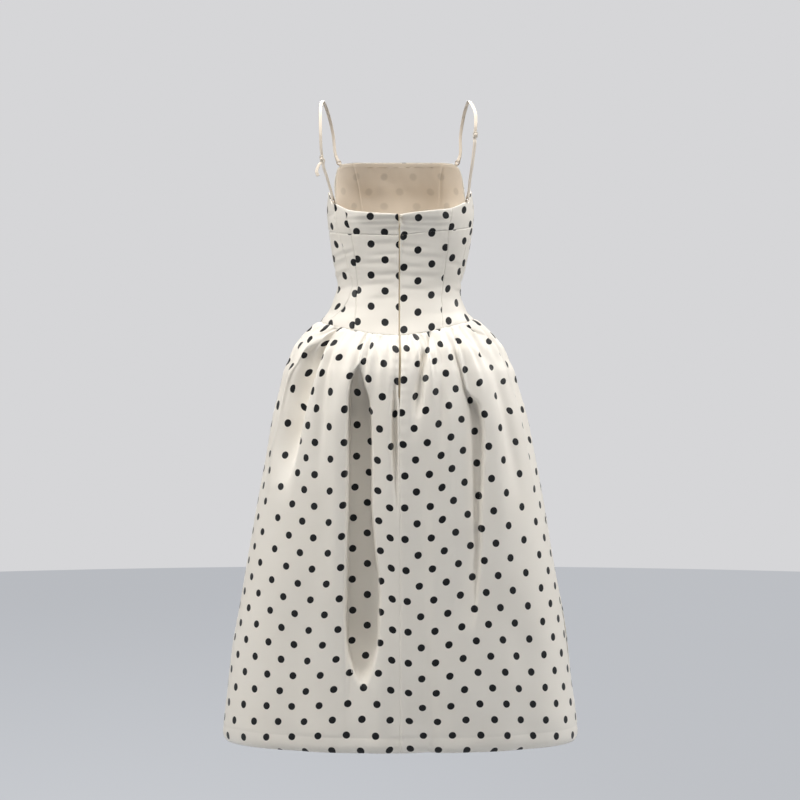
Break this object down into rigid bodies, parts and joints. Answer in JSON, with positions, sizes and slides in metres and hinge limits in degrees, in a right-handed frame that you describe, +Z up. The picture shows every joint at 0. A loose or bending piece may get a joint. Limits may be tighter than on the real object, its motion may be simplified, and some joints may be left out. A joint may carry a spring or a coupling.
{
  "type": "slip dress",
  "caption": "Sleeveless midi dress: square-necked fitted bodice with a top band, thin adjustable straps, centre-back zip and a full gathered skirt, hollow in its worn form.",
  "frame": {"origin": "on the body's centre plane, level with the top of the shoulder straps, midway between the places where the two straps cross the shoulders", "axes": "+Z up along the body, -Y towards the front, +X towards the wearer's left"},
  "size_m": [0.6581, 0.3456, 1.1825],
  "materials": {
    "dotted_cloth": "ivory satin-backed crepe with a woven-in lustre and dark round dots",
    "lining_cloth": "plain thin beige lining",
    "strap_satin": "cream satin strap",
    "zip_tape": "woven cream zip tape",
    "ring_metal": "small dull pale gold plated metal",
    "zip_metal": "small dark metal"
  },
  "bodies": {
    "dress": {"bodice_back_left": "dotted_cloth", "bodice_back_right": "dotted_cloth", "bodice_side_back_left": "dotted_cloth", "bodice_side_back_right": "dotted_cloth", "bodice_side_front_left": "dotted_cloth", "bodice_side_front_right": "dotted_cloth", "bodice_front": "dotted_cloth", "band_back_left": "dotted_cloth", "band_back_right": "dotted_cloth", "band_side_back_left": "dotted_cloth", "band_side_back_right": "dotted_cloth", "band_side_front_left": "dotted_cloth", "band_side_front_right": "dotted_cloth", "band_front": "dotted_cloth", "skirt_back_left": "dotted_cloth", "skirt_back_right": "dotted_cloth", "skirt_front": "dotted_cloth", "bodice_lining": "lining_cloth", "strap_left": "strap_satin", "strap_right": "strap_satin", "strap_spare_end_left": "strap_satin", "tab_front_left": "strap_satin", "tab_front_right": "strap_satin", "tab_back_left": "strap_satin", "tab_back_right": "strap_satin", "zip_tape": "zip_tape", "ring_front_left": "ring_metal", "ring_front_right": "ring_metal", "ring_back_left": "ring_metal", "ring_back_right": "ring_metal", "adjuster_left": "ring_metal", "adjuster_right": "ring_metal", "zip_slider": "zip_metal"},
    "zip_pull": {"zip_pull": "zip_metal"}
  },
  "joints": [
    {"name": "pull_swing", "type": "hinge", "parent": "dress", "child": "zip_pull", "pos_m": [-0.001, 0.09177, -0.214], "axis": [1, 0, 0], "range_deg": [-8, 150]}
  ]
}
